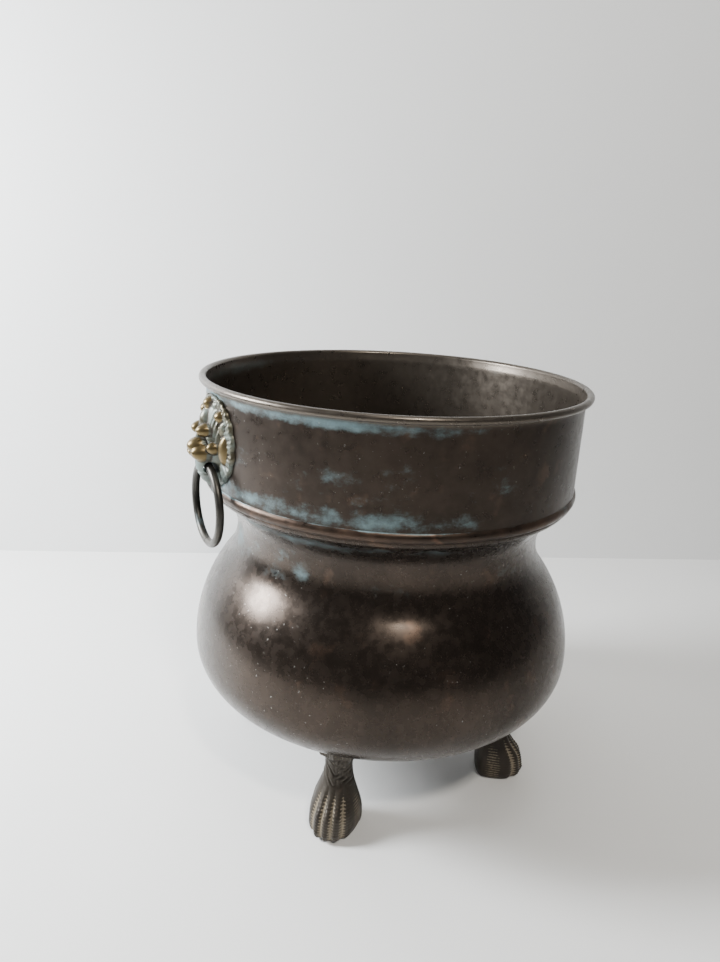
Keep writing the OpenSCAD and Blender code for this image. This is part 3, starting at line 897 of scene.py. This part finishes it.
@dataclass
class Paw:
    """A cast paw foot: toes and claws, a leafed ankle and a scalloped flange under the bowl."""

    sheet: Sheet
    gap: float = 0.12
    toes: int = 5
    groove: float = 1.9
    columns: int = 240
    rows: int = 176
    # share of the height: reach back, reach forward, half width
    sections: list = field(default_factory=lambda: [
        (0.00, 5.0, 19.5, 14.0), (0.015, 6.8, 22.6, 15.6), (0.05, 8.0, 25.0, 16.8), (0.12, 9.0, 26.0, 17.5),
        (0.22, 9.4, 25.0, 17.4), (0.32, 9.0, 22.0, 16.2), (0.42, 8.0, 17.4, 14.1), (0.52, 7.4, 13.4, 11.9),
        (0.62, 7.6, 10.2, 10.2), (0.74, 8.0, 8.2, 9.3), (0.82, 8.3, 8.6, 9.6), (0.86, 9.6, 10.2, 11.4),
        (0.885, 12.4, 13.0, 15.2), (0.92, 13.4, 13.6, 16.2), (1.00, 13.6, 13.6, 16.3)])

    def build(self, foot: Foot, finish: Patina, fit: float) -> None:
        """Casts one foot.

        Args:
            foot: Its place.
            finish: Its finish.
            fit: Radius of its tapped hole.
        """
        table = np.array(self.sections)
        u = np.linspace(0, 1, self.rows)
        back, front, half = (curve_through(table[:, 0], table[:, k], u)[:, None] for k in (1, 2, 3))
        u = u[:, None]
        turn = np.linspace(0, math.tau, self.columns, endpoint=False)[None]
        c, w = np.cos(turn), np.sin(turn)
        across = np.sign(w) * np.abs(w) ** 0.9
        ahead = np.clip(c, 0, 1)
        lobes = np.abs(np.sin(math.pi / 2 * self.toes * (across + 1)))
        toe = smooth_step(0.60, 0.34, u) * smooth_step(-0.02, 0.05, u) * ahead ** 0.35
        cut = self.groove * toe * (1 - lobes ** 0.9)
        z = u * self.sheet.seat_z
        beads = np.clip(np.sin(z * math.tau / 1.9 + across * 9), 0, 1) * toe * smooth_step(0.75, 0.95, lobes) * 0.32
        knuckle = 0.7 * toe * np.exp(-((u - 0.30) / 0.05) ** 2) * lobes
        claw = 0.6 * toe * smooth_step(0.14, 0.10, u) * smooth_step(0.55, 0.8, lobes)
        leafed = smooth_step(0.50, 0.62, u) * smooth_step(0.90, 0.84, u)
        wave = z * 0.62 - np.abs(across) * 9.0 * np.sign(c) + 0.8 * np.sin(z * 0.9 + across * 5)
        veins = 0.5 + 0.5 * np.sin(wave * 1.7)
        vein = 0.5 * leafed * (1 - veins ** 0.7)
        lip = smooth_step(0.84, 0.90, u)
        scallop = 1.7 * lip * np.abs(np.sin(4.5 * turn)) + 0.35 * lip * np.abs(np.sin(22.5 * turn))
        reach = np.where(c > 0, front, back) - cut - vein - scallop + beads + knuckle + claw
        side = half - 0.45 * cut - 0.8 * vein - scallop
        x = self.sheet.foot_r + reach * c
        y = side * across
        r = np.hypot(x, y)
        seat = self.sheet.underside(r) - self.gap
        z = z + smooth_step(0.82, 1.0, u) * (seat - self.sheet.seat_z)
        z = np.minimum(z, seat)
        notch = np.clip(-np.sin(z * math.tau / 1.9 + across * 9), 0, 1) * toe * smooth_step(0.95, 0.6, lobes)
        dust = np.clip(0.95 * cut / self.groove + 0.7 * notch + 0.5 * vein / 0.5 + 0.45 * lip, 0, 1)
        caps = []
        for level, row in ((0, 0), (1, self.rows - 1)):
            for part in ((0.66, 0.33) if level else (0.6,)):
                cx = self.sheet.foot_r + (x[row] - self.sheet.foot_r) * part
                cy = y[row] * part
                cz = self.sheet.underside(np.hypot(cx, cy)) - self.gap if level else np.zeros(self.columns)
                caps.append((level, np.stack([cx, cy, cz], axis=1)))
        body = np.stack([x, y, z], axis=-1)
        rings = [p for level, p in caps if not level] + list(body) + [p for level, p in caps if level]
        n, total = self.columns, len(rings) * self.columns
        points = np.concatenate(rings + [[[self.sheet.foot_r, 0, 0]],
                                         [[self.sheet.foot_r, 0, self.sheet.seat_z - self.gap]]])
        low = sum(1 for level, _ in caps if not level)
        rest = (len(rings) - low - self.rows) * n + 2
        dirt_and_shade = np.concatenate([np.full(low * n, 0.4), dust.ravel(), np.full(rest, 0.3)])
        faces = [(a * n + k, a * n + (k + 1) % n, (a + 1) * n + (k + 1) % n, (a + 1) * n + k)
                 for a in range(len(rings) - 1) for k in range(n)]
        faces += [(total, (k + 1) % n, k) for k in range(n)]
        faces += [(total + 1, total - n + k, total - n + (k + 1) % n) for k in range(n)]
        piece = make_object(f"paw_{foot.name.lower()}", points, faces, {"dust": dirt_and_shade})
        drill(piece, [(turned(-foot.value, "Z") @ self.sheet.seat(foot.value),
                       fit, -10.2, 3.0)])
        piece.data.transform(turned(foot.value, "Z"))
        piece.data.materials.clear()
        piece.data.materials.append(finish.material())
        soften(piece, 60)
        settle(piece, "vessel", f"foot_{foot.name.lower()}")


def curve_through(xs: Points, ys: Points, at: Points) -> Points:
    """A smooth curve through points, without overshoot.

    Args:
        xs: Places, rising.
        ys: Values there.
        at: Places to read the curve at.

    Returns:
        The curve's values.
    """
    steps = np.diff(ys) / np.diff(xs)
    slope = np.zeros(len(xs))
    same = steps[:-1] * steps[1:] > 0
    slope[1:-1][same] = 2 * steps[:-1][same] * steps[1:][same] / (steps[:-1][same] + steps[1:][same])
    k = np.clip(np.searchsorted(xs, at, side="right") - 1, 0, len(xs) - 2)
    h = xs[k + 1] - xs[k]
    t = (at - xs[k]) / h
    return ((2 * t ** 3 - 3 * t ** 2 + 1) * ys[k] + (t ** 3 - 2 * t ** 2 + t) * h * slope[k]
            + (3 * t ** 2 - 2 * t ** 3) * ys[k + 1] + (t ** 3 - t ** 2) * h * slope[k + 1])


@dataclass
class Fastener:
    """A slotted screw or a washer, turned about Z, and the seats that it repeats on."""

    name: str
    nodes: tuple
    outline: list  # radius and height pairs from the axis round and back
    slot: float = 0.0
    top: float = 0.0
    count: int = 1
    azimuth: float = 0.0
    step: float = 0.0
    seat_r: float = 0.0
    seat_z: float = 0.0
    tilt: float = 0.0

    def build(self, tree: Growth, finish: Patina) -> None:
        """Turns one fastener and repeats it on its seats."""
        segments = 40
        line = np.array(self.outline)
        turn = np.linspace(0, math.tau, segments, endpoint=False)
        rings = [np.stack([r * np.cos(turn), r * np.sin(turn), np.full(segments, z)], axis=1) for r, z in line]
        n = segments
        closed = bool(line[0][0] > 0)
        last = len(rings) if closed else len(rings) - 1
        faces = [(a * n + k, a * n + (k + 1) % n, (a + 1) % len(rings) * n + (k + 1) % n,
                  (a + 1) % len(rings) * n + k) for a in range(last) for k in range(n)]
        piece = make_object(self.name, np.concatenate(rings), faces)
        work = bmesh.new()
        work.from_mesh(piece.data)
        bmesh.ops.remove_doubles(work, verts=work.verts[:], dist=1e-7)
        work.to_mesh(piece.data)
        work.free()
        face_outwards(piece)
        if self.slot:
            self.cut_slot(piece)
        tree.grow(piece, Count=self.count, First_Azimuth=math.radians(self.azimuth), Step=math.radians(self.step),
                  Seat_Radius=self.seat_r * MM, Seat_Height=self.seat_z * MM, Tilt=math.radians(self.tilt),
                  Material=finish.material())
        soften(piece, 30)
        settle(piece, "vessel", *self.nodes)

    def cut_slot(self, piece: bpy.types.Object) -> None:
        """Saws the slot into the screw's head."""
        tool = bmesh.new()
        size = Matrix.Diagonal((30 * MM, self.slot * MM, 2.4 * MM, 1))
        bmesh.ops.create_cube(tool, size=1.0, matrix=Matrix.Translation((0, 0, self.top * MM)) @ size)
        subtract(piece, tool)


def settle(piece: bpy.types.Object, body: str, *nodes: str) -> None:
    """Lets a piece ride on its body in place of CAD nodes, and reports it."""
    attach(piece, body)
    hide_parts(*nodes)
    LOG.info("%s rides on %s for %s: %d faces", piece.name, body, ", ".join(nodes), len(piece.data.polygons))


BOWL_FINISH = Patina("bowl_copper", bands=((209.0, 10.0, 0.62), (183.0, 26.0, 0.42)), streak=0.4, crust_all=0.10,
                     scuffs=0.7, rough=(0.21, 0.33), sheltered="outer", seed=3.0)
COLLAR_FINISH = Patina("collar_copper", bands=((282.0, 8.0, 0.85), (230.0, 13.0, 0.70), (250.0, 30.0, 0.36)),
                       streak=0.5, crust_all=0.10, scuffs=0.4, rough=(0.25, 0.38), sheltered="outer", seed=9.0)
BEAD_FINISH = Patina("bead_copper", mid=(0.085, 0.052, 0.036), bands=((225.0, 1.4, 0.9),), crust_all=0.15,
                     rub=(0.22, 0.12, 0.08), seed=14.0)
# on the masks the crease attribute paints shade: a dark brown laid into the recesses
MASK_FINISH = Patina("mask_brass", dark=(0.060, 0.052, 0.036), mid=(0.11, 0.095, 0.06),
                     crust=(0.105, 0.145, 0.138), dust="crease", dirt_and_shade=(0.045, 0.038, 0.028), crust_all=0.66,
                     grain=0.2, wear="worn", scuffs=0.0, rough=(0.24, 0.4), seed=21.0)
RING_FINISH = Patina("ring_brass", dark=(0.028, 0.027, 0.025), mid=(0.075, 0.068, 0.058), rub=(0.12, 0.09, 0.06),
                     crust_all=0.02, scuffs=0.2, rough=(0.3, 0.45), seed=30.0)
PAW_FINISH = Patina("paw_metal", dark=(0.018, 0.014, 0.011), mid=(0.045, 0.037, 0.028), crust=(0.12, 0.125, 0.095),
                    crust_all=0.18, dust="dust", scuffs=0.2, rough=(0.36, 0.55), metallic=0.6, grain=0.5, seed=44.0)
STEEL_FINISH = Patina("dull_steel", dark=(0.14, 0.135, 0.13), mid=(0.24, 0.235, 0.22), rub=(0.30, 0.28, 0.25),
                      crust_all=0.0, scuffs=0.1, rough=(0.35, 0.5), seed=51.0)
WIRE_FINISH = Patina("rim_wire_iron", dark=(0.05, 0.045, 0.04), mid=(0.11, 0.10, 0.09), crust_all=0.0, seed=60.0)


@dataclass
class Studio:
    """The pale floor and wall, the lights and the camera, placed in the picture's own frame."""

    lens_px: float = 722.0
    camera: tuple = (-20.3, -487.8, 367.3)
    down: float = 17.46
    roll: float = 2.9
    wall_y: float = 366.0
    wall_turn: float = 5.4

    def build(self) -> None:
        """Builds the whole studio."""
        self.place_camera()
        self.place_room()
        self.place_lights()

    def place_camera(self) -> None:
        """Puts the camera where the photograph was taken from."""
        data = bpy.data.cameras.new("camera")
        data.sensor_width = 36.0
        data.lens = data.sensor_width * self.lens_px / max(PHOTO_SIZE)
        data.clip_start = 0.01
        camera = bpy.data.objects.new("camera", data)
        bpy.context.scene.collection.objects.link(camera)
        view = Matrix.Translation(Vector(self.camera) * MM) @ turned(90 - self.down, "X") @ turned(self.roll, "Z")
        camera.matrix_world = turned(PHOTO_TURN, "Z") @ view
        bpy.context.scene.camera = camera

    def plain(self, name: str, colour: tuple, shown: float) -> bpy.types.Material:
        """A pale surface that shows a little brighter to the camera than it lights.

        Args:
            name: The material's name.
            colour: Its colour.
            shown: Glow that is added for camera, gloss and glass rays.

        Returns:
            The material.
        """
        stuff = bpy.data.materials.new(name)
        stuff.use_nodes = True
        g = Graph(stuff.node_tree)
        place = g.add("ShaderNodeTexCoord", None, "Object")
        cloud = g.add("ShaderNodeTexNoise", {"Vector": place, "Scale": 9.0, "Detail": 5.0})
        tone = g.add("ShaderNodeMix", {0: cloud, 6: (*colour, 1), 7: (*(0.96 * c for c in colour), 1)}, 2,
                     data_type="RGBA")
        bump = g.add("ShaderNodeBump", {"Height": cloud, "Strength": 0.15, "Distance": 0.002})
        shader = g.add("ShaderNodeBsdfPrincipled", {"Base Color": tone, "Roughness": 0.75, "Normal": bump,
                                                    "Emission Color": (*colour, 1)})
        ray = g.add("ShaderNodeLightPath").node
        seen = g.math("MAXIMUM", ray.outputs["Is Camera Ray"],
                      g.math("MAXIMUM", ray.outputs["Is Glossy Ray"], ray.outputs["Is Transmission Ray"]))
        stuff.node_tree.links.new(g.math("MULTIPLY", seen, shown), shader.node.inputs["Emission Strength"])
        g.add("ShaderNodeOutputMaterial", {"Surface": shader})
        return stuff

    def place_room(self) -> None:
        """Lays the floor and stands the wall behind the object."""
        turn = turned(PHOTO_TURN, "Z")
        floor = self.panel("floor", (3000.0, 3000.0), turn @ Matrix.Translation((0, self.wall_y - 1200, 0)))
        wall_place = (turn @ moved(0, self.wall_y, 0) @ turned(self.wall_turn, "Z") @ moved(0, 0, 1200.0)
                      @ turned(90, "X"))
        wall = self.panel("wall", (4000.0, 2400.0), wall_place)
        floor.data.materials.append(self.plain("pale_floor", (0.80, 0.80, 0.79), 0.02))
        wall.data.materials.append(self.plain("pale_wall", (0.74, 0.745, 0.745), 0.02))

    @staticmethod
    def panel(name: str, size: tuple, place: Matrix) -> bpy.types.Object:
        """A flat panel.

        Args:
            name: Its name.
            size: Width and depth.
            place: Its frame in millimetres.

        Returns:
            The panel.
        """
        mesh = bpy.data.meshes.new(name)
        x, y = size[0] / 2, size[1] / 2
        corners = [place @ Vector(p) * MM for p in ((-x, -y, 0), (x, -y, 0), (x, y, 0), (-x, y, 0))]
        mesh.from_pydata(corners, [], [(0, 1, 2, 3)])
        obj = bpy.data.objects.new(name, mesh)
        bpy.context.scene.collection.objects.link(obj)
        return obj

    def place_lights(self) -> None:
        """Hangs the lights: a cool window at the left, a warm lamp behind the camera, a dim room."""
        self.lamp("window", (-820, -60, 560), (60, 160, 120), (260, 320), 27.0, (0.95, 0.98, 1.0))
        self.lamp("ceiling_lamp", (230, -900, 1250), (0, 0, 150), (130, 130), 12.5, (1.0, 0.94, 0.85))
        self.lamp("skylight", (0, -250, 2000), (0, 200, 0), (700, 700), 6.0, (1.0, 0.99, 0.97))
        world = bpy.data.worlds.new("room")
        bpy.context.scene.world = world
        world.use_nodes = True
        g = Graph(world.node_tree)
        glow = g.add("ShaderNodeBackground", {"Color": (0.95, 0.97, 1.0, 1.0), "Strength": 0.16})
        g.add("ShaderNodeOutputWorld", {"Surface": glow})

    @staticmethod
    def lamp(name: str, place: tuple, aim: tuple, size: tuple, watts: float, colour: tuple) -> None:
        """Hangs an area light.

        Args:
            name: Its name.
            place: Its place in the picture's own frame.
            aim: What it points at.
            size: Its width and height.
            watts: Its power.
            colour: Its colour.
        """
        data = bpy.data.lights.new(name, "AREA")
        data.shape = "RECTANGLE"
        data.size, data.size_y = size[0] * MM, size[1] * MM
        data.energy = watts
        data.color = colour
        light = bpy.data.objects.new(name, data)
        bpy.context.scene.collection.objects.link(light)
        spot, target = Vector(in_part(*place)) * MM, Vector(in_part(*aim)) * MM
        light.matrix_world = Matrix.Translation(spot) @ (target - spot).to_track_quat("-Z", "Y").to_matrix().to_4x4()


def dress_hidden(frame: dict) -> None:
    """Gives the CAD nodes that stay their finish."""
    for node, finish in (("rim_wire", WIRE_FINISH),):
        obj = frame["nodes"][node]
        obj.data.materials.clear()
        obj.data.materials.append(finish.material())
        LOG.info("%s keeps its CAD shape", node)


def main() -> None:
    """Builds the cauldron's pieces in order and the studio round them."""
    logging.basicConfig(level=logging.INFO, format="%(name)s: %(message)s")
    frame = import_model()
    sheet = Sheet()
    sheet.build()
    dress_hidden(frame)
    mask, ring, paw = Mask(sheet), Ring(), Paw(sheet)
    rods = bent_rod_tree()
    for side in Side:
        mask.build(side, MASK_FINISH)
        ring.build(rods, side, RING_FINISH)
    for foot in Foot:
        paw.build(foot, PAW_FINISH, 2.05)
    seats = fastener_tree()
    build_fasteners(sheet, seats)
    Studio().build()


def build_fasteners(sheet: Sheet, seats: Growth) -> None:
    """Turns the screws and washers of the feet and the masks.

    Args:
        sheet: The vessel that they pass through.
        seats: The tree that repeats them.
    """
    gap, t = sheet.seat_gap, sheet.sheet
    foot_place = dict(count=4, azimuth=45.0, step=90.0, seat_r=sheet.foot_r, seat_z=sheet.seat_z,
                      tilt=sheet.slope)
    on = t + 2 * gap + 1.0
    head = [(0, -10), (1.7, -10), (2, -9.6), (2, on), (3.75, on), (3.75, on + 1.7), (3.2, on + 2.4), (2.0, on + 2.6),
            (0, on + 2.6)]
    Fastener("foot_screw_set", ("foot_screws",), head, 0.9, on + 2.8, **foot_place).build(seats, STEEL_FINISH)
    low = t + gap
    flat = [(2.2, low), (5.3, low), (5.5, low + 0.2), (5.5, low + 0.8), (5.3, low + 1.0), (2.2, low + 1.0)]
    Fastener("foot_washer_set", ("foot_washers",), flat, **foot_place).build(seats, STEEL_FINISH)
    lean = sheet.mask_screw_lean
    for side in Side:
        low_name = side.name.lower()
        place = dict(count=2, azimuth=side.value - lean, step=2 * lean, seat_r=sheet.wall_r,
                     seat_z=sheet.mask_screw_z, tilt=90.0)
        on = t + 3 * gap + 0.75
        head = [(0, -1.6), (1.4, -1.6), (1.5, -1.4), (1.5, on), (2.75, on), (2.75, on + 1.1), (2.3, on + 1.7),
                (1.2, on + 1.8), (0, on + 1.8)]
        Fastener(f"mask_screw_pair_{low_name}", (f"mask_screws_{low_name}",), head, 0.7, on + 2.2,
                 **place).build(seats, BRASS_FINISH)
        low = t + 2 * gap
        flat = [(1.7, low), (3.9, low), (4.0, low + 0.12), (4.0, low + 0.68), (3.9, low + 0.8), (1.7, low + 0.8)]
        Fastener(f"mask_washer_pair_{low_name}", (f"mask_washers_{low_name}",), flat,
                 **place).build(seats, BRASS_FINISH)


BRASS_FINISH = Patina("dull_brass", dark=(0.15, 0.12, 0.06), mid=(0.27, 0.21, 0.10), rub=(0.32, 0.26, 0.13),
                      crust_all=0.08, scuffs=0.1, rough=(0.32, 0.5), seed=70.0)

if __name__ == "__main__":
    main()
